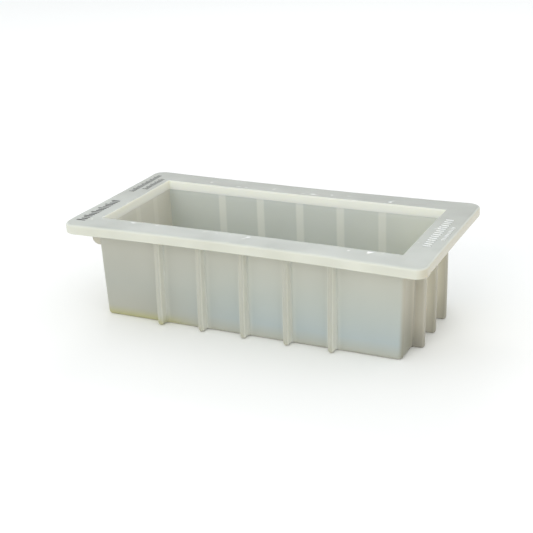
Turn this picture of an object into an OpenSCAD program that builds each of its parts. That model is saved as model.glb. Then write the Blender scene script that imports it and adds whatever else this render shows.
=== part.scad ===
// Soap loaf mould: one milky silicone tub with a wide flat rim and upright ribs.
// X runs along the mould, Y across it and Z up. The origin is in the middle of the floor's underside.

/* [Cavity] */
// Length of the opening inside the rim
cavity_length = 203.2; // [160:0.1:260]
// Width of the opening inside the rim
cavity_width = 88.4; // [80:0.1:120]
// Height of the rim's top above the table
total_height = 66.5; // [50:0.5:90]
// How far each end wall leans in between the rim and the table
end_draft = 1.8; // [0.5:0.1:4]
// How far each long wall leans in between the rim and the table
side_draft = 0.8; // [0.2:0.1:3]

/* [Walls] */
// Thickness of the four walls, measured level
wall_thickness = 2.2; // [1.5:0.1:3.5]
// Thickness of the floor
floor_thickness = 2.6; // [1.5:0.1:5]
// Radius of the tub's upright corners and of the edge round its floor
tub_radius = 2.2; // [1:0.1:3]

/* [Rim] */
// Width of the rim's flat on the long sides
rim_side_width = 18.6; // [12:0.1:30]
// Width of the rim's flat at the two ends
rim_end_width = 18.8; // [12:0.1:30]
// Thickness of the rim
rim_thickness = 6.4; // [3:0.1:8]
// Radius of the rim's four outer corners, seen from above
rim_corner_radius = 7; // [3:0.5:12]
// Radius of the rim's outer edges, seen from the side
rim_edge_radius = 1.5; // [0.4:0.1:1.5]

/* [Ribs] */
// Number of ribs on each long wall
side_ribs = 5; // [3:2:7]
// Distance between neighbouring ribs on a long wall
side_rib_pitch = 29.4; // [15:0.1:30]
// Number of ribs on each end wall
end_ribs = 3; // [1:2:3]
// Distance between neighbouring ribs on an end wall
end_rib_pitch = 23; // [12:0.1:26]
// Thickness of a rib, along the wall
rib_thickness = 3.6; // [2.5:0.1:6]
// How far a rib stands out from the top of a long wall
side_rib_depth = 5.8; // [3:0.1:8]
// How far a rib stands out from an end wall
end_rib_depth = 6.6; // [3:0.1:8]
// How far an end wall's rib leans in between the rim and the table
end_rib_lean = 0.7; // [0:0.1:4]
// Radius of a rib's outer edges
rib_radius = 1.5; // [0.4:0.1:1.7]

/* [Lug] */
// How far the lug under the left end of the rim stands out from its wall
lug_depth = 6; // [3:0.1:8]
// Height of the lug below the rim
lug_height = 13; // [6:0.1:16]
// Thickness of the lug, along the wall
lug_thickness = 6; // [3:0.5:12]
// Radius of the lug's lower outer edge
lug_radius = 2.9; // [1:0.1:3]

/* [Hidden] */
$fn = 32;

rim_color = [0.83, 0.84, 0.80];
wall_color = [0.70, 0.72, 0.68];
rib_color = [0.77, 0.77, 0.70];

// Half sizes of the opening, the tub and the rim.
cavity_x = cavity_length / 2;
cavity_y = cavity_width / 2;
tub_x = cavity_x + wall_thickness;
tub_y = cavity_y + wall_thickness;
rim_x = cavity_x + rim_end_width;
rim_y = cavity_y + rim_side_width;

// The walls end under the rim.
wall_top = total_height - rim_thickness;
// Larger than the mould, for cutting shapes.
reach = 2 * rim_x;
// A sheet this thin stands for a flat outline in a hull.
sheet = 0.01;

// Half length or half width at height z of a wall that is `at_top` from the middle under the rim.
function leaned(at_top, draft, z) = at_top - draft * (wall_top - z) / wall_top;

// ---- outlines ----

// Turns a drawing of (distance outwards, height) to stand across the X direction and runs it along Y.
module along_y(length) {
    rotate([90, 0, 0]) translate([0, 0, -length / 2]) linear_extrude(length) children();
}

// Turns a drawing of (distance outwards, height) to stand across the Y direction and runs it along X.
module along_x(length) {
    rotate([90, 0, 90]) translate([0, 0, -length / 2]) linear_extrude(length) children();
}

// The band between the two inner wall planes, from height z_low to the rim.
module inner_band(at_top, draft, z_low) {
    low = leaned(at_top, draft, z_low);
    polygon([[-low, z_low], [low, z_low], [at_top, wall_top], [-at_top, wall_top]]);
}

// Everything outside one inner wall plane, on the positive side, from the floor to the rim.
module outer_band(at_top, draft) {
    low = leaned(at_top, draft, floor_thickness);
    polygon([[low, floor_thickness], [reach, floor_thickness], [reach, wall_top], [at_top, wall_top]]);
}

// ---- whole shapes that the pieces are cut from ----

// Foot of one upright corner: its lower edge is a quarter round and its underside is at z = 0.
module tub_corner_foot() {
    rotate_extrude() intersection() {
        translate([0, tub_radius]) circle(tub_radius);
        square(tub_radius);
    }
}

// The tub's outside as a solid, with rounded upright corners and a rounded lower edge.
module tub_block() {
    foot_x = leaned(tub_x, end_draft, 0) - tub_radius;
    foot_y = leaned(tub_y, side_draft, 0) - tub_radius;
    head_x = tub_x - tub_radius;
    head_y = tub_y - tub_radius;
    hull() {
        for (sx = [-1, 1], sy = [-1, 1]) {
            translate([sx * foot_x, sy * foot_y, 0]) tub_corner_foot();
            translate([sx * head_x, sy * head_y, wall_top - sheet]) cylinder(r = tub_radius, h = sheet);
        }
    }
}

// Profile of a rim corner, from its axis outwards, with both outer edges rounded.
module rim_corner_profile() {
    inner = rim_corner_radius - rim_edge_radius;
    square([inner, rim_thickness]);
    translate([0, rim_edge_radius]) square([rim_corner_radius, rim_thickness - 2 * rim_edge_radius]);
    for (z = [rim_edge_radius, rim_thickness - rim_edge_radius]) translate([inner, z]) circle(rim_edge_radius);
}

// The rim as a solid plate with no opening.
module rim_plate() {
    translate([0, 0, wall_top]) hull()
        for (sx = [-1, 1], sy = [-1, 1])
            translate([sx * (rim_x - rim_corner_radius), sy * (rim_y - rim_corner_radius), 0])
                rotate_extrude() rim_corner_profile();
}

// ---- rim ----

// One bar of the rim, cut from the plate along the four mitres that join the opening's corners to the
// rim's corners. near and far are the half lengths of its inner and outer edges.
module rim_bar(near, far, inner, outer) {
    grow = 1.2;
    wide = near + grow * (far - near);
    edge = inner + grow * (outer - inner);
    polygon([[-near, inner], [near, inner], [wide, edge], [-wide, edge]]);
}

module rim_long_bar(side) {
    color(rim_color) intersection() {
        rim_plate();
        mirror([0, side < 0 ? 1 : 0, 0]) translate([0, 0, wall_top])
            linear_extrude(rim_thickness) rim_bar(cavity_x, rim_x, cavity_y, rim_y);
    }
}

module rim_end_bar(side) {
    color(rim_color) intersection() {
        rim_plate();
        rotate(-90 * side) translate([0, 0, wall_top])
            linear_extrude(rim_thickness) rim_bar(cavity_y, rim_y, cavity_x, rim_x);
    }
}

// ---- tub ----

// A long wall runs the whole length, round both corners.
module long_wall(side) {
    color(wall_color) intersection() {
        tub_block();
        mirror([0, side < 0 ? 1 : 0, 0]) along_x(2 * reach) outer_band(cavity_y, side_draft);
    }
}

// An end wall fits between the long walls.
module end_wall(side) {
    color(wall_color) intersection() {
        tub_block();
        mirror([side < 0 ? 1 : 0, 0, 0]) along_y(2 * reach) outer_band(cavity_x, end_draft);
        along_x(2 * reach) inner_band(cavity_y, side_draft, floor_thickness);
    }
}

module floor_panel() {
    color(wall_color) intersection() {
        tub_block();
        translate([-reach, -reach, 0]) cube([2 * reach, 2 * reach, floor_thickness]);
    }
}

// ---- ribs ----

// Side view of a rib as (distance outwards from the mould's middle, height). Its back follows the wall,
// its outer edge stands `lean` further in at the foot, and its lower outer corner is rounded.
module rib_side(wall_at_top, depth, draft, lean) {
    face_top = wall_at_top + depth;
    face_foot = face_top - lean;
    outline = [[leaned(wall_at_top, draft, 0), 0], [face_foot, 0], [face_top, wall_top], [wall_at_top, wall_top]];
    // Angle of the outer edge from upright, and the round corner that touches it and the table.
    tilt = atan(lean / wall_top);
    touch = rib_radius / tan(45 + tilt / 2);
    centre = [face_foot - touch, rib_radius];
    difference() {
        polygon(outline);
        difference() {
            polygon([centre, [centre[0], 0], [face_foot, 0],
                     [face_foot + touch * sin(tilt), touch * cos(tilt)]]);
            translate(centre) circle(rib_radius);
        }
    }
}

// Plan of a rib's outer end, running inwards past the wall, with both upright edges rounded.
module rib_plan(face) {
    half = rib_thickness / 2 - rib_radius;
    translate([0, -rib_thickness / 2]) square([face - rib_radius, rib_thickness]);
    translate([0, -half]) square([face, 2 * half]);
    for (s = [-1, 1]) translate([face - rib_radius, s * half]) circle(rib_radius);
}

// A rib on the +X side of a wall that is wall_at_top from the middle. Turned or mirrored for the others.
module rib(wall_at_top, depth, draft, lean) {
    color(rib_color) intersection() {
        along_y(rib_thickness) rib_side(wall_at_top, depth, draft, lean);
        linear_extrude(wall_top) rib_plan(wall_at_top + depth);
    }
}

// i counts from 1 at the -X end of a long wall, and from 1 at the -Y side of an end wall.
function rib_place(i, count, pitch) = (i - (count + 1) / 2) * pitch;

// The long walls' ribs stand upright at their outer edge.
module side_rib(side, i) {
    translate([rib_place(i, side_ribs, side_rib_pitch), 0, 0]) rotate(90 * side)
        rib(tub_y, side_rib_depth, side_draft, 0);
}

// The end walls' ribs lean in less than their wall, so they are deepest at the foot.
module end_rib(side, i) {
    translate([0, rib_place(i, end_ribs, end_rib_pitch), 0]) rotate(side < 0 ? 180 : 0)
        rib(tub_x, end_rib_depth, end_draft, end_rib_lean);
}

// ---- lug ----

// A short thick lug under the rim, at the front corner of the left end wall.
module lug_left() {
    foot = wall_top - lug_height;
    outer = tub_x + lug_depth;
    front = tub_y - tub_radius;
    color(rib_color) mirror([1, 0, 0]) translate([0, lug_thickness / 2 - front, 0])
        along_y(lug_thickness) difference() {
            polygon([[leaned(tub_x, end_draft, foot), foot], [outer, foot], [outer, wall_top],
                     [tub_x, wall_top]]);
            translate([outer - lug_radius, foot]) difference() {
                square(lug_radius);
                translate([0, lug_radius]) circle(lug_radius);
            }
        }
}

rim_long_bar(-1);  // rim_front
rim_long_bar(1);  // rim_back
rim_end_bar(-1);  // rim_left
rim_end_bar(1);  // rim_right
long_wall(-1);  // wall_front
long_wall(1);  // wall_back
end_wall(-1);  // wall_left
end_wall(1);  // wall_right
floor_panel();
lug_left();
for (i = [1:side_ribs]) {
    side_rib(-1, i);
    side_rib(1, i);
}
for (i = [1:end_ribs]) {
    end_rib(-1, i);
    end_rib(1, i);
}
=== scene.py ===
"""A milky silicone soap loaf mould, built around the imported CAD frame."""

import math

import bpy
from mathutils import Matrix, Vector, noise


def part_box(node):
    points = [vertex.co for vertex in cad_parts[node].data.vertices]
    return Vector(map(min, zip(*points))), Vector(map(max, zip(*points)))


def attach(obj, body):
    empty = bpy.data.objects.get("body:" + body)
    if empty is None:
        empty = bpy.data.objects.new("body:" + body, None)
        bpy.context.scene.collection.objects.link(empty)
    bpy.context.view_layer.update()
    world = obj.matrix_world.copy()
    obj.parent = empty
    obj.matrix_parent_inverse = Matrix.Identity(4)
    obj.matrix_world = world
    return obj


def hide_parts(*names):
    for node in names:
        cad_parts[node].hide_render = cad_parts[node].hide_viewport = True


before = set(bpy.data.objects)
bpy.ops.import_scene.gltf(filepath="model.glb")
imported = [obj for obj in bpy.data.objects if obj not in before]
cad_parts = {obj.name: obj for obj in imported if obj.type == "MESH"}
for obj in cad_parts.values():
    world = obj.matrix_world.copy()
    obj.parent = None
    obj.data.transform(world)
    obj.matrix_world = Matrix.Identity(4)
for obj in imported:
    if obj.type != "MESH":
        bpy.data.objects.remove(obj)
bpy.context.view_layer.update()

MM = 0.001

# ---- sizes read from the frame, in metres ----

rim_low, rim_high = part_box("rim_front")
end_low, end_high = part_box("rim_left")
wall_low, wall_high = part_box("wall_front")
floor_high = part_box("floor_panel")[1]

RIM_TOP = rim_high[2]
WALL_TOP = rim_low[2]
RIM_X = -end_low[0]
RIM_Y = -rim_low[1]
CAVITY_X = -end_high[0]
CAVITY_Y = -rim_high[1]
FLOOR = floor_high[2]
TUB_X = wall_high[0]
TUB_Y = -wall_low[1]

# The tub: how far its walls lean in towards the floor, and its radii.
END_DRAFT = 1.8 * MM
SIDE_DRAFT = 0.8 * MM
TUB_CORNER = 3.0 * MM
FOOT_RADIUS = 2.0 * MM
INNER_RADIUS = 0.8 * MM
INNER_FLOOR_RADIUS = 1.8 * MM
# How far the tub's top runs up into the rim, and how far it is drawn in there so that it stays inside.
TUB_OVERLAP = 1.0 * MM
TUB_TUCK = 0.7 * MM

# The rim: its radii, and how far its underside reaches below the top of the walls.
RIM_CORNER = 8 * MM
OPENING_CORNER = 0.7 * MM
RIM_EDGE = 1.6 * MM
RIM_FOOT = 1.2 * MM
LIP_EDGE = 0.5 * MM
RIM_SAG = 0.3 * MM

# How far the marks stand up from the rim.
PRINT_RISE = 0.05 * MM
EMBOSS_RISE = 0.4 * MM

# The ribs. A foot's rounding is (its height, how far the sides pull in), a nose's is how far it pulls in.
SIDE_RIB_COUNT = 5
END_RIB_COUNT = 3
SIDE_PITCH = 29.4 * MM
END_PITCH = 23 * MM
RIB_HALF = 1.8 * MM
RIB_EDGE = 1.6 * MM
RIB_FILLET = 0.8 * MM
RIB_FLARE = 0.1 * MM
RIB_ROOT = 1.8 * MM
RIB_OVERLAP = 0.6 * MM
SIDE_RIB_DEPTH = 5.6 * MM
SIDE_RIB_LEAN = 0.2 * MM
SIDE_RIB_LIFT = 0.4 * MM
SIDE_RIB_FOOT = (1.9 * MM, 1.2 * MM)
SIDE_RIB_NOSE = 1.8 * MM
END_RIB_DEPTH = 6.0 * MM
END_RIB_LEAN = 0.7 * MM
END_RIB_FOOT = (1.8 * MM, 1.3 * MM)
END_RIB_NOSE = 1.8 * MM
LUG_EXTRA = 1.2 * MM
LUG_FOOT = (4.5 * MM, 1.4 * MM)
LUG_NOSE = 5.6 * MM

# How far silicone sags: the long sides bow in, the rim's front corners droop and its back ones rise.
# It begins at this share of the walls' height.
SAG_START = 0.2
BOW_EDGE = 1.6 * MM
BOW_OUTER = 2.6 * MM
BOW_ENDS = 0.4 * MM
CORNER_DROOP = 0.5 * MM
CORNER_RISE = 0.25 * MM
# The left end wall splays out a little towards the rim.
LEFT_SPLAY = 1.0 * MM
# The rim's skin: length and height of its long and short waves, and a roll beside the opening.
LONG_WAVE, LONG_WAVE_HEIGHT = 45 * MM, 0.16 * MM
SHORT_WAVE, SHORT_WAVE_HEIGHT = 9 * MM, 0.06 * MM
ROLL_WAVE, ROLL_HEIGHT = 16 * MM, 0.22 * MM
ROLL_MIDDLE, ROLL_WIDTH = 2.6 * MM, 2.2 * MM

# Points along a long side, along an end, and round each corner of every loop.
LONG_STEPS = 84
END_STEPS = 40
CORNER_STEPS = 6
# The smallest radius of a loop's corner, so that its points never meet.
MIN_RADIUS = 0.05 * MM
# Edges bent by more than this stay sharp.
SHARP_ANGLE = math.radians(38)


def smooth(low, high, value):
    """0 below low, 1 above high, and a smooth step between them."""
    t = min(1.0, max(0.0, (value - low) / (high - low)))
    return t * t * (3 - 2 * t)


def mix(a, b, t):
    return a + (b - a) * t


# ---- how the silicone settles ----


def settle(p):
    """Where a point of the straight mould lies once the silicone has sagged."""
    x, y, z = p
    middle = 1 - (x / RIM_X) ** 2
    lifted = smooth(SAG_START * WALL_TOP, WALL_TOP, z)
    outwards = smooth(CAVITY_Y, RIM_Y, abs(y))
    bow = mix(BOW_EDGE, BOW_OUTER, outwards) * middle * lifted * smooth(0, CAVITY_Y, abs(y))
    across = 1 - (y / RIM_Y) ** 2
    end_bow = BOW_ENDS * across * lifted * smooth(0.8 * CAVITY_X, CAVITY_X, abs(x))
    droop = (CORNER_DROOP if y < 0 else -CORNER_RISE) * (x / RIM_X) ** 2 * outwards * lifted
    return Vector((x - math.copysign(end_bow, x), y - math.copysign(bow, y), z - droop))


def wave(p, length, seed):
    """Smooth noise over the plan, about length from crest to crest."""
    return noise.noise(Vector((p[0] / length, p[1] / length, seed)))


def ripple(p):
    """Extra height of the rim's skin: long waves, and on its top short ones and a soft roll beside the
    opening that swells and fades along its way."""
    long_wave = wave(p, LONG_WAVE, 1.7) * LONG_WAVE_HEIGHT
    short_wave = wave(p, SHORT_WAVE, 9.1) * SHORT_WAVE_HEIGHT
    beyond = max(abs(p[0]) - CAVITY_X, abs(p[1]) - CAVITY_Y)
    swell = max(0.0, 0.5 + wave(p, ROLL_WAVE, 5.2))
    roll = math.exp(-(((beyond - ROLL_MIDDLE) / ROLL_WIDTH) ** 2)) * swell * ROLL_HEIGHT
    on_top = smooth(mix(WALL_TOP, RIM_TOP, 0.6), RIM_TOP, p[2])
    return long_wave + on_top * (roll + short_wave)


# ---- mesh building ----


def ring(half_x, half_y, radius, z):
    """Points round a rounded rectangle, anticlockwise from the start of the front right corner."""
    radius = max(radius, MIN_RADIUS)
    points = []
    corners = [(1, -1, -90), (1, 1, 0), (-1, 1, 90), (-1, -1, 180)]
    for k, (sx, sy, start) in enumerate(corners):
        cx, cy = sx * (half_x - radius), sy * (half_y - radius)
        for i in range(CORNER_STEPS + 1):
            a = math.radians(start + 90 * i / CORNER_STEPS)
            points.append(Vector((cx + radius * math.cos(a), cy + radius * math.sin(a), z)))
        here = points[-1]
        nx, ny, nstart = corners[(k + 1) % 4]
        a = math.radians(nstart)
        ahead = Vector((nx * (half_x - radius) + radius * math.cos(a),
                        ny * (half_y - radius) + radius * math.sin(a), z))
        steps = END_STEPS if k % 2 == 0 else LONG_STEPS
        points += [here.lerp(ahead, i / steps) for i in range(1, steps)]
    return points


def arc(start, end, steps):
    """Angles in radians from start to end degrees, in equal steps."""
    return [math.radians(start + (end - start) * i / steps) for i in range(steps + 1)]


def loft(loops, closed):
    """Faces between neighbouring loops, as index lists. closed joins the last loop to the first."""
    count = len(loops[0])
    faces = []
    pairs = len(loops) if closed else len(loops) - 1
    for k in range(pairs):
        a, b = k * count, ((k + 1) % len(loops)) * count
        for i in range(count):
            j = (i + 1) % count
            faces.append((a + i, a + j, b + j, b + i))
    return faces


def cap(loop, base, first_index):
    """A grid of four-sided faces that fills a ring whose first point is number base. Half of each corner
    belongs to each side. Returns the new points, numbered from first_index, and the faces."""
    half = CORNER_STEPS // 2
    across, along = END_STEPS + CORNER_STEPS, LONG_STEPS + CORNER_STEPS
    count = len(loop)
    right = [(half + i) % count for i in range(across + 1)]
    back = [(half + across + i) % count for i in range(along + 1)]
    left = [(half + across + along + i) % count for i in range(across + 1)]
    front = [(half + 2 * across + along + i) % count for i in range(along + 1)]
    back, left = back[::-1], left[::-1]
    points, faces = [], []
    index = {}
    for j in range(across + 1):
        for i in range(along + 1):
            u, v = i / along, j / across
            if j == 0:
                index[i, j] = base + front[i]
            elif j == across:
                index[i, j] = base + back[i]
            elif i == 0:
                index[i, j] = base + left[j]
            elif i == along:
                index[i, j] = base + right[j]
            else:
                f, b = loop[front[i]], loop[back[i]]
                l, r = loop[left[j]], loop[right[j]]
                c00, c10 = loop[front[0]], loop[front[-1]]
                c01, c11 = loop[back[0]], loop[back[-1]]
                p = (f * (1 - v) + b * v + l * (1 - u) + r * u
                     - (c00 * (1 - u) * (1 - v) + c10 * u * (1 - v) + c01 * (1 - u) * v + c11 * u * v))
                index[i, j] = first_index + len(points)
                points.append(p)
    for j in range(across):
        for i in range(along):
            faces.append((index[i, j], index[i + 1, j], index[i + 1, j + 1], index[i, j + 1]))
    return points, faces


def piece(name, points, faces, material, *nodes, lining=None, lining_from=0):
    """A smooth closed mesh that stands for the CAD nodes given. Faces from lining_from on wear lining."""
    mesh = bpy.data.meshes.new(name)
    mesh.from_pydata([tuple(p) for p in points], [], faces)
    mesh.materials.append(material)
    if lining:
        mesh.materials.append(lining)
        for polygon in mesh.polygons[lining_from:]:
            polygon.material_index = 1
    mesh.update()
    mesh.shade_smooth()
    mesh.set_sharp_from_angle(angle=SHARP_ANGLE)
    obj = bpy.data.objects.new(name, mesh)
    bpy.context.scene.collection.objects.link(obj)
    weighted = obj.modifiers.new("normals", "WEIGHTED_NORMAL")
    weighted.keep_sharp = True
    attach(obj, "root")
    if nodes:
        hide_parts(*nodes)
    return obj


# ---- the rim ----


def rim(material):
    """The flat rim: one ring with rounded outer edges and a nearly sharp opening."""
    end_width, side_width = RIM_X - CAVITY_X, RIM_Y - CAVITY_Y

    def loop(inset, z):
        t = inset / side_width
        corner = mix(OPENING_CORNER, RIM_CORNER, t)
        return ring(CAVITY_X + end_width * t, CAVITY_Y + side_width * t, corner, z)

    under = WALL_TOP - RIM_SAG
    section = [(0, z) for z in (under, mix(WALL_TOP, RIM_TOP, 0.3), mix(WALL_TOP, RIM_TOP, 0.6))]
    section += [(LIP_EDGE * (1 - math.cos(a)), RIM_TOP - LIP_EDGE * (1 - math.sin(a)))
                for a in arc(0, 90, 3)]
    flat = side_width - LIP_EDGE - RIM_EDGE
    top_steps = 16
    section += [(LIP_EDGE + flat * i / top_steps, RIM_TOP) for i in range(1, top_steps)]
    section += [(side_width - RIM_EDGE * (1 - math.sin(a)), RIM_TOP - RIM_EDGE * (1 - math.cos(a)))
                for a in arc(0, 90, 5)]
    section += [(side_width, mix(RIM_TOP - RIM_EDGE, under + RIM_FOOT, i / 3)) for i in (1, 2)]
    section += [(side_width - RIM_FOOT * (1 - math.cos(a)), under + RIM_FOOT * (1 - math.sin(a)))
                for a in arc(0, 90, 5)]
    section += [(mix(side_width - RIM_FOOT, 0, i / 6), under) for i in range(1, 6)]

    loops = [loop(inset, z) for inset, z in section]
    points = [settle(p) + Vector((0, 0, ripple(p))) for loop_points in loops for p in loop_points]
    return piece("silicone_rim", points, loft(loops, closed=True), material,
                 "rim_front", "rim_back", "rim_left", "rim_right")


# ---- the tub ----


def leaned(at_top, draft, z):
    """Half size at height z of a wall that leans in towards the floor."""
    return at_top - draft * (1 - z / WALL_TOP)


def tub(material, lining):
    """Walls and floor as one shell, with rounded upright corners and a rounded lower edge."""
    wall_steps = 14

    def loop(half_x, half_y, radius, z, inset=0.0):
        return ring(leaned(half_x, END_DRAFT, z) - inset, leaned(half_y, SIDE_DRAFT, z) - inset,
                    radius - inset, z)

    outer = []
    for a in arc(0, 90, 6):
        outer.append(loop(TUB_X, TUB_Y, TUB_CORNER, FOOT_RADIUS * (1 - math.cos(a)),
                          FOOT_RADIUS * (1 - math.sin(a))))
    for i in range(1, wall_steps + 1):
        outer.append(loop(TUB_X, TUB_Y, TUB_CORNER, mix(FOOT_RADIUS, WALL_TOP, i / wall_steps)))
    head = WALL_TOP + TUB_OVERLAP
    outer.append(ring(TUB_X - TUB_TUCK, TUB_Y - TUB_TUCK, TUB_CORNER, head))

    inner = [ring(CAVITY_X + TUB_TUCK, CAVITY_Y + TUB_TUCK, INNER_RADIUS, head)]
    knee = FLOOR + INNER_FLOOR_RADIUS
    for i in range(wall_steps + 1):
        inner.append(loop(CAVITY_X, CAVITY_Y, INNER_RADIUS, mix(WALL_TOP, knee, i / wall_steps)))
    for a in arc(0, 90, 5)[1:]:
        inner.append(loop(CAVITY_X, CAVITY_Y, INNER_RADIUS, knee - INNER_FLOOR_RADIUS * math.sin(a),
                          INNER_FLOOR_RADIUS * (1 - math.cos(a))))

    for loop_points in outer:
        for p in loop_points:
            p.x -= LEFT_SPLAY * smooth(0.9 * TUB_X, TUB_X, -p.x) * p.z / WALL_TOP

    loops = outer + inner
    count = len(loops[0])
    points = [p for loop_points in loops for p in loop_points]
    under_points, under_faces = cap(loops[0], 0, len(points))
    points += under_points
    floor_points, floor_faces = cap(loops[-1], (len(loops) - 1) * count, len(points))
    points += floor_points
    faces = [face[::-1] for face in under_faces] + loft(loops, closed=False) + floor_faces
    points = [settle(p) for p in points]
    return piece("silicone_tub", points, faces, material,
                 "wall_front", "wall_back", "wall_left", "wall_right", "floor_panel",
                 lining=lining, lining_from=len(under_faces) + len(outer) * count)


# ---- ribs and the lug ----


def upright(name, material, node, place, wall, draft, depth, lean, half, foot, foot_round, nose_round):
    """An upright rib with rounded outer edges and foot, and a small fillet where it meets its wall.
    place turns (distance from the mould's middle, distance along the wall, height) into a point.
    wall and draft are the wall's half size and lean. depth is how far the rib stands out at the rim, lean
    how much less at the floor, half its half width and foot the height of its lower end. foot_round and
    nose_round are explained beside the ribs' sizes."""
    round_height, side_round = foot_round

    def section(z, pull):
        skin = leaned(wall, draft, z)
        face = wall + depth - lean * (1 - z / WALL_TOP) - pull * nose_round
        inset = pull * side_round
        side = half - inset
        r = RIB_EDGE - inset
        wide = side + RIB_FLARE
        one_side = [(skin - RIB_ROOT, wide + RIB_FILLET)]
        one_side += [(skin + RIB_FILLET * (1 - math.cos(a)), wide + RIB_FILLET * (1 - math.sin(a)))
                     for a in arc(0, 90, 4)]
        one_side += [(mix(skin + RIB_FILLET, face - r, t), mix(wide, side, t)) for t in (0.33, 0.67)]
        one_side += [(face - r * (1 - math.sin(a)), side - r * (1 - math.cos(a)))
                     for a in arc(0, 90, 5)]
        other_side = [(u, -v) for u, v in one_side[::-1]]
        return [place(u, v, z) for u, v in one_side + other_side]

    levels = [(foot + round_height * (1 - math.sin(a)), 1 - math.cos(a)) for a in arc(90, 0, 6)]
    steps = 10
    levels += [(mix(foot + round_height, WALL_TOP, i / steps), 0.0) for i in range(1, steps + 1)]
    levels.append((WALL_TOP + RIB_OVERLAP, 0.0))
    loops = [section(z, pull) for z, pull in levels]
    points = [settle(p) for loop_points in loops for p in loop_points]
    count = len(loops[0])
    faces = loft(loops, closed=False)
    faces.append(tuple(range(count))[::-1])
    faces.append(tuple(range((len(loops) - 1) * count, len(loops) * count)))
    return piece(name, points, faces, material, node)


def side_ribs(material):
    for side, word in ((-1, "front"), (1, "back")):
        for i in range(SIDE_RIB_COUNT):
            x = (i - (SIDE_RIB_COUNT - 1) / 2) * SIDE_PITCH
            node = "rib_%s_%d" % (word, i + 1)

            def place(u, v, z, side=side, x=x):
                return Vector((x - side * v, side * u, z))

            upright("silicone_" + node, material, node, place, TUB_Y, SIDE_DRAFT, SIDE_RIB_DEPTH,
                    SIDE_RIB_LEAN, RIB_HALF, SIDE_RIB_LIFT, SIDE_RIB_FOOT, SIDE_RIB_NOSE)


def end_ribs(material):
    for side, word in ((-1, "left"), (1, "right")):
        for i in range(END_RIB_COUNT):
            y = (i - (END_RIB_COUNT - 1) / 2) * END_PITCH
            node = "rib_%s_%d" % (word, i + 1)

            def place(u, v, z, side=side, y=y):
                return Vector((side * u, y + side * v, z))

            upright("silicone_" + node, material, node, place, TUB_X, END_DRAFT, END_RIB_DEPTH,
                    END_RIB_LEAN, RIB_HALF, 0.0, END_RIB_FOOT, END_RIB_NOSE)


def lug(material):
    """The short lug under the rim, near the front of the left end."""
    low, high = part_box("lug_left")
    y = (low[1] + high[1]) / 2
    depth = -low[0] - TUB_X + LUG_EXTRA

    def place(u, v, z):
        return Vector((-u, y - v, z))

    upright("silicone_lug", material, "lug_left", place, TUB_X, END_DRAFT, depth, 0.0,
            (high[1] - low[1]) / 2, low[2], LUG_FOOT, LUG_NOSE)


# ---- marks on the rim ----


def marks(name, material, rows, rise):
    """Ticks across the rim's top, one low block for each, sunk a little into it. Every third tick is long.
    A row is (first y, last y, spacing, tick width, x of the inner ends, long tick, short tick,
    direction), in mm."""
    points, faces = [], []
    sunk = -0.4 * MM
    # A block's section, as (share of its half width, height): sunk, then up to a narrower top.
    section = ((1.0, sunk), (1.0, 0.6 * rise), (0.7, rise))
    order = (0, 1, 2, 5, 4, 3)
    turns = [(a, (a + 1) % len(order)) for a in range(len(order))]
    x_steps = 4
    for first, last, spacing, width, inner, long_tick, short_tick, outwards in rows:
        count = int(round((last - first) / spacing)) + 1
        for k in range(count):
            y = mix(first, last, k / (count - 1))
            reach = long_tick if k % 3 == 0 else short_tick
            base = len(points)
            for i in range(x_steps + 1):
                x = inner + outwards * reach * i / x_steps
                for side in (-1, 1):
                    for share, up in section:
                        flat = Vector((x * MM, (y + side * share * width / 2) * MM, RIM_TOP))
                        points.append(settle(flat) + Vector((0, 0, ripple(flat) + up)))
            rings = [tuple(base + len(order) * i + a for a in order) for i in range(x_steps + 1)]
            block = [(near[a], near[b], far[b], far[a])
                     for near, far in zip(rings, rings[1:]) for a, b in turns]
            block += [rings[0][::-1], rings[-1]]
            faces += block if outwards > 0 else [face[::-1] for face in block]
    return piece(name, points, faces, material)


def rim_marks():
    """Plain ticks where the rim is printed on the left and embossed on the right."""
    printed = [(-52, -10, 2.8, 1.5, -109.2, 6.2, 4.4, -1),
               (13, 51.5, 1.9, 0.9, -111.6, 4.2, 3.0, -1),
               (20.5, 44.5, 1.9, 0.9, -105.2, 4.2, 3.0, -1)]
    marks("rim_marks_left", plain("ink", "343530", 0.6), printed, PRINT_RISE)
    embossed = [(-25.5, 23.5, 3.5, 1.3, 107.6, 4.8, 4.8, 1),
                (-12.5, 10.5, 2.55, 0.9, 115.2, 2.0, 2.0, 1)]
    marks("rim_marks_right", embossed_silicone(), embossed, EMBOSS_RISE)


# ---- materials ----

# How strongly silicone bends light, and how far red, green and blue light spread in it beside each other.
SILICONE_IOR = 1.41
SCATTER_RATIO = (1.0, 0.95, 0.8)


def srgb(code):
    """Linear RGBA of a colour written as six hex digits."""
    channels = [int(code[i:i + 2], 16) / 255 for i in (0, 2, 4)]
    linear = [c / 12.92 if c <= 0.04045 else ((c + 0.055) / 1.055) ** 2.4 for c in channels]
    return (*linear, 1.0)


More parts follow.
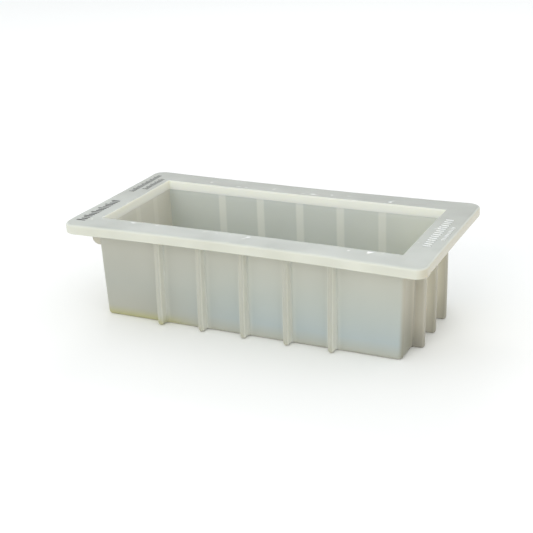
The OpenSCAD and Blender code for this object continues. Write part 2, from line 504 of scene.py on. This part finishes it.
class Shader:
    """A small helper that adds and joins shader nodes."""

    def __init__(self, name):
        self.material = bpy.data.materials.new(name)
        self.material.use_nodes = True
        self.tree = self.material.node_tree
        self.bsdf = self.tree.nodes["Principled BSDF"]
        coords = self.add("ShaderNodeTexCoord")
        self.place = coords.outputs["Object"]
        split = self.add("ShaderNodeSeparateXYZ")
        self.join(self.place, split.inputs[0])
        self.x, self.y, self.z = split.outputs
        facing = self.add("ShaderNodeSeparateXYZ")
        self.join(coords.outputs["Normal"], facing.inputs[0])
        self.facing_x, self.facing_y, self.facing_z = facing.outputs

    def add(self, kind):
        return self.tree.nodes.new(kind)

    def join(self, source, target):
        if isinstance(source, (int, float, tuple)):
            target.default_value = source
        else:
            self.tree.links.new(source, target)

    def math(self, operation, a, b=0.0, c=0.0):
        node = self.add("ShaderNodeMath")
        node.operation = operation
        for value, socket in zip((a, b, c), node.inputs):
            self.join(value, socket)
        return node.outputs[0]

    def times(self, a, b):
        return self.math("MULTIPLY", a, b)

    def minus(self, a, b):
        return self.math("SUBTRACT", a, b)

    def unsigned(self, value):
        return self.math("ABSOLUTE", value)

    def step(self, value, low, high):
        """0 below low, 1 above high, smooth between. Works with low above high too."""
        node = self.add("ShaderNodeMapRange")
        node.interpolation_type = "SMOOTHSTEP"
        self.join(value, node.inputs["Value"])
        node.inputs["From Min"].default_value = low
        node.inputs["From Max"].default_value = high
        return node.outputs["Result"]

    def noise(self, scale, detail=2.0):
        node = self.add("ShaderNodeTexNoise")
        self.join(self.place, node.inputs["Vector"])
        node.inputs["Scale"].default_value = scale
        node.inputs["Detail"].default_value = detail
        return node.outputs["Fac"]

    def ramp(self, value, *stops):
        """A colour that follows a value. A stop is (value, colour as six hex digits)."""
        node = self.add("ShaderNodeValToRGB")
        self.join(value, node.inputs["Fac"])
        elements = node.color_ramp.elements
        while len(elements) < len(stops):
            elements.new(0.5)
        for element, (position, code) in zip(elements, stops):
            element.position = position
            element.color = srgb(code)
        return node.outputs["Color"]

    def blend(self, factor, a, b, how="MIX"):
        node = self.add("ShaderNodeMix")
        node.data_type = "RGBA"
        node.blend_type = how
        self.join(factor, node.inputs["Factor"])
        self.join(a, node.inputs[6])
        self.join(b, node.inputs[7])
        return node.outputs[2]

    def mottle(self, color, scale, amount, *stops):
        """The colour multiplied by cloudy patches of the colours given."""
        return self.blend(amount, color, self.ramp(self.noise(scale), *stops), "MULTIPLY")

    def cloudy_value(self, scale, low, high):
        """A value between low and high that follows a noise."""
        node = self.add("ShaderNodeMapRange")
        self.join(self.noise(scale), node.inputs["Value"])
        node.inputs["From Min"].default_value = 0.1
        node.inputs["From Max"].default_value = 0.9
        node.inputs["To Min"].default_value = low
        node.inputs["To Max"].default_value = high
        return node.outputs["Result"]

    def bump(self, scale, distance, strength):
        node = self.add("ShaderNodeBump")
        node.inputs["Distance"].default_value = distance
        node.inputs["Strength"].default_value = strength
        self.join(self.noise(scale), node.inputs["Height"])
        return node.outputs["Normal"]

    def silicone(self, color, roughness, normal, scatter, reach):
        """Finish the material. scatter is how strongly light spreads under the skin, reach how far."""
        self.join(color, self.bsdf.inputs["Base Color"])
        self.join(roughness, self.bsdf.inputs["Roughness"])
        self.join(normal, self.bsdf.inputs["Normal"])
        self.bsdf.inputs["IOR"].default_value = SILICONE_IOR
        self.bsdf.inputs["Subsurface Weight"].default_value = scatter
        self.bsdf.inputs["Subsurface Radius"].default_value = SCATTER_RATIO
        self.bsdf.inputs["Subsurface Scale"].default_value = reach
        return self.material


def rim_silicone():
    s = Shader("rim_silicone")
    top = s.blend(s.step(s.y, -CAVITY_Y, CAVITY_Y), srgb("C4C7C0"), srgb("B6B8B0"))
    top = s.mottle(top, 30, 0.75, (0.25, "DFE0DE"), (0.75, "FFFFFF"))
    # Painted shade: faces turned to the right get a darker, warmer side colour, as less light falls on
    # them.
    rightwards = s.step(s.facing_x, 0.2, 0.9)
    side = s.ramp(s.noise(45), (0.1, "C6C7BB"), (0.9, "D4D5CA"))
    side = s.blend(rightwards, side, srgb("C4BFAD"))
    beyond = s.math("MAXIMUM", s.minus(s.unsigned(s.x), CAVITY_X), s.minus(s.unsigned(s.y), CAVITY_Y))
    lip = s.blend(rightwards, srgb("EFF0E8"), srgb("F2F0E4"))
    side = s.blend(s.step(beyond, 6 * MM, 3 * MM), side, lip)
    # Painted light: the top is painted cooler and darker than the sides, for the bluish sky it reflects
    # and the light falling on the sides from the front.
    color = s.blend(s.step(s.facing_z, 0.35, 0.9), side, top)
    # Painted highlight along the rounded edges between the rim's top and its sides.
    edge_highlight = s.times(s.step(s.facing_z, 0.25, 0.6), s.step(s.facing_z, 0.99, 0.85))
    color = s.blend(s.times(edge_highlight, 0.4), color, srgb("DADCD4"))
    # Small soft specks of light on the roll beside the opening.
    beside = s.times(s.step(beyond, 0.4 * MM, 2.4 * MM), s.step(beyond, 7 * MM, 4 * MM))
    glint = s.times(s.step(s.noise(165, detail=0.0), 0.69, 0.84), beside)
    color = s.blend(glint, color, srgb("F8F8F5"))
    return s.silicone(color, s.cloudy_value(40, 0.18, 0.26), s.bump(70, 0.25 * MM, 0.2), 0.6, 3 * MM)


def embossed_silicone():
    s = Shader("embossed_silicone")
    color = s.ramp(s.noise(300), (0.3, "DCDEDA"), (0.7, "EEF0EC"))
    return s.silicone(color, 0.3, s.bump(400, 0.1 * MM, 0.2), 0.3, 2 * MM)


def near_ribs(s, along, facing, pitch, count, near, far):
    """1 within near of a rib's middle on the walls that face that way, and 0 beyond far from it."""
    close = s.step(s.math("PINGPONG", along, pitch / 2), far, near)
    on_wall = s.step(s.unsigned(facing), 0.5, 0.8)
    inside_row = s.step(s.unsigned(along), count / 2 * pitch, (count / 2 - 0.1) * pitch)
    return s.times(s.times(close, on_wall), inside_row)


def near_side_ribs(s, near, far):
    return near_ribs(s, s.x, s.facing_y, SIDE_PITCH, SIDE_RIB_COUNT, near, far)


def near_end_ribs(s, near, far):
    return near_ribs(s, s.y, s.facing_x, END_PITCH, END_RIB_COUNT, near, far)


def olive_reflection(s, color):
    """A faint yellowish-green tint along the foot at the left: a painted reflection of a yellowish thing
    nearby.
    """
    low_left = s.times(s.step(s.x, -28 * MM, -62 * MM), s.step(s.z, 8 * MM, 0.5 * MM))
    return s.blend(s.times(low_left, 0.65), color, srgb("ACAA74"))


def wall_silicone():
    """Outside of the tub: warmer at the left, bluish low down, with painted contact shade along the foot
    and painted light just under the rim and beside the ribs that cancels the shade there. The right end
    wall carries painted shade, darker towards the bottom, and painted light in the bays between its ribs."""
    s = Shader("wall_silicone")
    height = s.math("DIVIDE", s.z, WALL_TOP)
    # In both ramps the top stops are painted light that cancels the shade just under the rim, and the
    # lowest stop is painted contact shade along the foot.
    warm = s.ramp(height, (0.0, "A7A790"), (0.06, "ABABA0"), (0.4, "ABADA4"), (0.91, "B6B5AA"),
                  (1.0, "CBCABF"))
    cool = s.ramp(height, (0.0, "ACACA0"), (0.05, "AFB2A9"), (0.17, "ABB5B5"), (0.38, "B0B7B2"),
                  (0.65, "B8BBB2"), (0.91, "BFBEB3"), (1.0, "D2D1C7"))
    skin = s.blend(s.step(s.x, -80 * MM, 10 * MM), warm, cool)
    color = s.mottle(skin, 22, 0.5, (0.1, "E2E3E0"), (0.9, "FFFFFF"))
    # Painted light beside the ribs, cancelling the shade in the creases where they meet the wall.
    color = s.blend(s.times(near_side_ribs(s, 2.2 * MM, 6 * MM), 0.4), color, srgb("D3D5CC"))
    # Painted shade: the right end wall is darker, as less light falls on it, and darker still towards the
    # bottom.
    end = s.ramp(height, (0.0, "8E8D7E"), (0.25, "999789"), (0.6, "B0AC9C"), (1.0, "B9B4A3"))
    # Painted light in the bays between the end ribs, cancelling the shade there.
    bay = s.ramp(height, (0.0, "AAA698"), (0.4, "CFCABA"), (1.0, "D8D3C3"))
    end = s.blend(s.times(s.step(s.y, -34 * MM, -24 * MM), 0.75), end, bay)
    color = olive_reflection(s, s.blend(s.step(s.facing_x, 0.1, 1.0), color, end))
    return s.silicone(color, s.cloudy_value(50, 0.35, 0.5), s.bump(70, 0.2 * MM, 0.15), 0.25, 1.5 * MM)


def lining_silicone():
    """Inside of the tub, painted paler than the outside as painted light that stands in for light shining
    in through the thin walls, with painted paler bands where the ribs stand behind its walls.
    """
    s = Shader("lining_silicone")
    skin = s.blend(s.step(s.x, 20 * MM, 105 * MM), srgb("CACEC8"), srgb("D8DBD3"))
    skin = s.mottle(skin, 22, 0.5, (0.1, "E8E8E6"), (0.9, "FFFFFF"))
    color = s.blend(s.step(s.unsigned(s.facing_x), 0.5, 0.8), skin, srgb("D2CFC1"))
    # Painted light seen through the walls: paler bands where the ribs stand behind them.
    color = s.blend(s.times(near_side_ribs(s, 2.0 * MM, 3.4 * MM), 0.5), color, srgb("E6E6DC"))
    color = s.blend(s.times(near_end_ribs(s, 2.0 * MM, 3.4 * MM), 0.4), color, srgb("E2DFD2"))
    return s.silicone(color, s.cloudy_value(50, 0.35, 0.5), s.bump(70, 0.2 * MM, 0.15), 0.5, 3 * MM)


def rib_silicone():
    """Ribs painted to read as soft even bands: the nose is painted darker and the flanks lighter, the
    nearer to the wall the lighter, to cancel the light and shade that fall on them. On the ends they carry
    painted shade, with painted light on the rear ribs and on faces turned to the back, so the front one is
    darkest; all are darker low down."""
    s = Shader("rib_silicone")
    height = s.math("DIVIDE", s.z, WALL_TOP)
    lower = s.minus(1.0, height)
    # How far out from the settled wall's skin a point lies: 0 at the skin, 1 at the rib's nose.
    middle = s.minus(1.0, s.math("POWER", s.math("DIVIDE", s.x, RIM_X), 2.0))
    bow = s.times(s.times(middle, s.step(height, SAG_START, 1.0)), -BOW_EDGE)
    side_skin = s.math("ADD", s.math("MULTIPLY_ADD", lower, -SIDE_DRAFT, TUB_Y), bow)
    side_depth = s.math("DIVIDE", s.minus(s.unsigned(s.y), side_skin), SIDE_RIB_DEPTH)
    end_skin = s.math("MULTIPLY_ADD", lower, -END_DRAFT, TUB_X)
    end_depth = s.math("DIVIDE", s.minus(s.unsigned(s.x), end_skin), END_RIB_DEPTH)

    # Painted light and shade: the nose is painted darker and the flanks lighter so both read as one even
    # band; the flanks are lighter nearer the wall, cancelling the shade in the crease.
    nose = s.ramp(height, (0.0, "B5B4A3"), (0.12, "B6B7AC"), (0.5, "B4B5AB"), (1.0, "BBBAAE"))
    flank = s.ramp(side_depth, (0.0, "C8CAC0"), (0.06, "D2D3C9"), (0.16, "DEDED4"), (0.4, "DCDCD1"),
                   (0.8, "D8D8CD"))
    aside = s.math("MAXIMUM", s.step(s.unsigned(s.facing_x), 0.5, 1.0), s.step(side_depth, 0.4, 0.25))
    side_rib = s.blend(aside, nose, flank)

    # Painted shade on the end ribs, as less light falls on the right end; darker towards the bottom.
    end_nose = s.ramp(height, (0.0, "9A978B"), (0.25, "AEAA9D"), (1.0, "BDB9AA"))
    end_flank = s.ramp(end_depth, (0.05, "BEB9AA"), (0.5, "BFBBAC"), (1.0, "B8B4A6"))
    # The rear ribs' flanks get painted light that cancels the shade between the ribs.
    rear_flank = s.ramp(end_depth, (0.05, "EAE6D7"), (0.5, "DAD6C6"), (0.8, "CCC8B8"), (1.0, "B4B0A1"))
    low, dark = s.step(height, 0.35, 0.0), srgb("98958A")
    end_flank = s.blend(s.times(low, 0.85), end_flank, dark)
    rear_flank = s.blend(s.times(low, 0.3), rear_flank, dark)
    end_flank = s.blend(s.step(s.y, -16 * MM, -6 * MM), end_flank, rear_flank)
    end_rib = s.blend(s.step(s.unsigned(s.facing_y), 0.1, 0.8), end_nose, end_flank)
    # Painted light on faces turned to the back, which the front lights don't reach.
    end_rib = s.blend(s.times(s.step(s.facing_y, 0.15, 0.6), 0.75), end_rib, srgb("D6D2C3"))
    skin = s.blend(s.step(s.unsigned(s.x), TUB_X - 8 * MM, TUB_X - 6 * MM), side_rib, end_rib)
    color = olive_reflection(s, s.mottle(skin, 40, 0.5, (0.1, "ECECEA"), (0.9, "FFFFFF")))
    return s.silicone(color, s.cloudy_value(50, 0.45, 0.58), s.bump(90, 0.2 * MM, 0.15), 0.5, 1.5 * MM)


def plain(name, code, roughness):
    s = Shader(name)
    s.bsdf.inputs["Base Color"].default_value = srgb(code)
    s.bsdf.inputs["Roughness"].default_value = roughness
    return s.material


# ---- camera, lights and floor ----

# Place in metres, angles in degrees, lens and sensor in mm.
CAMERA_PLACE = Vector((0.28762, -0.61930, 0.29320))
CAMERA_TURN = 25.37
CAMERA_TILT = 21.06
CAMERA_ROLL = -1.97
CAMERA_LENS = 75.65
CAMERA_SENSOR = 36
CAMERA_NEAREST = 0.01

# Each area light's name, place, point it faces, size, power in watts and colour.
LIGHTS = [("front_light", (-0.2, -1.7, 0.8), (0, 0, 0.03), (0.9, 0.9), 8, (1.0, 0.98, 0.93)),
          ("side_fill", (1.6, -0.7, 0.6), (0, 0, 0.03), (0.9, 0.9), 1, (1.0, 0.97, 0.91)),
          ("window", (-0.42, 0.95, 0.86), (0, 0, 0.06), (0.5, 0.12), 1.6, (1.0, 1.0, 1.0))]
SKY = (0.96, 0.98, 1.0, 1.0)
FLOOR_REACH = 20.0


def camera():
    turn, tilt, roll = (math.radians(a) for a in (CAMERA_TURN, CAMERA_TILT, CAMERA_ROLL))
    back = Vector((math.sin(turn) * math.cos(tilt), -math.cos(turn) * math.cos(tilt), math.sin(tilt)))
    level = Vector((math.cos(turn), math.sin(turn), 0))
    upward = back.cross(level)
    right = level * math.cos(roll) + upward * math.sin(roll)
    up = upward * math.cos(roll) - level * math.sin(roll)
    data = bpy.data.cameras.new("camera")
    data.lens = CAMERA_LENS
    data.sensor_width = CAMERA_SENSOR
    data.clip_start = CAMERA_NEAREST
    obj = bpy.data.objects.new("camera", data)
    bpy.context.scene.collection.objects.link(obj)
    axes = Matrix((right, up, back)).transposed().to_4x4()
    obj.matrix_world = Matrix.Translation(CAMERA_PLACE) @ axes
    bpy.context.scene.camera = obj


def area_light(name, place, target, size, power, color):
    data = bpy.data.lights.new(name, "AREA")
    data.shape = "RECTANGLE"
    data.size, data.size_y = size
    data.energy = power
    data.color = color
    obj = bpy.data.objects.new(name, data)
    obj.location = place
    obj.rotation_euler = (Vector(target) - Vector(place)).to_track_quat("-Z", "Y").to_euler()
    bpy.context.scene.collection.objects.link(obj)


def studio():
    world = bpy.data.worlds.new("studio")
    world.use_nodes = True
    background = world.node_tree.nodes["Background"]
    background.inputs["Color"].default_value = SKY
    background.inputs["Strength"].default_value = 1.0
    bpy.context.scene.world = world
    for light in LIGHTS:
        area_light(*light)
    floor_mesh = bpy.data.meshes.new("floor")
    corners = [(x * FLOOR_REACH, y * FLOOR_REACH, 0) for x, y in ((-1, -1), (1, -1), (1, 1), (-1, 1))]
    floor_mesh.from_pydata(corners, [], [(0, 1, 2, 3)])
    floor_mesh.materials.append(plain("floor_white", "FAFAF8", 0.95))
    floor = bpy.data.objects.new("floor", floor_mesh)
    bpy.context.scene.collection.objects.link(floor)
    bpy.context.scene.view_settings.view_transform = "Standard"


camera()
studio()
rim(rim_silicone())
tub(wall_silicone(), lining_silicone())
rib_material = rib_silicone()
side_ribs(rib_material)
end_ribs(rib_material)
lug(rib_material)
rim_marks()
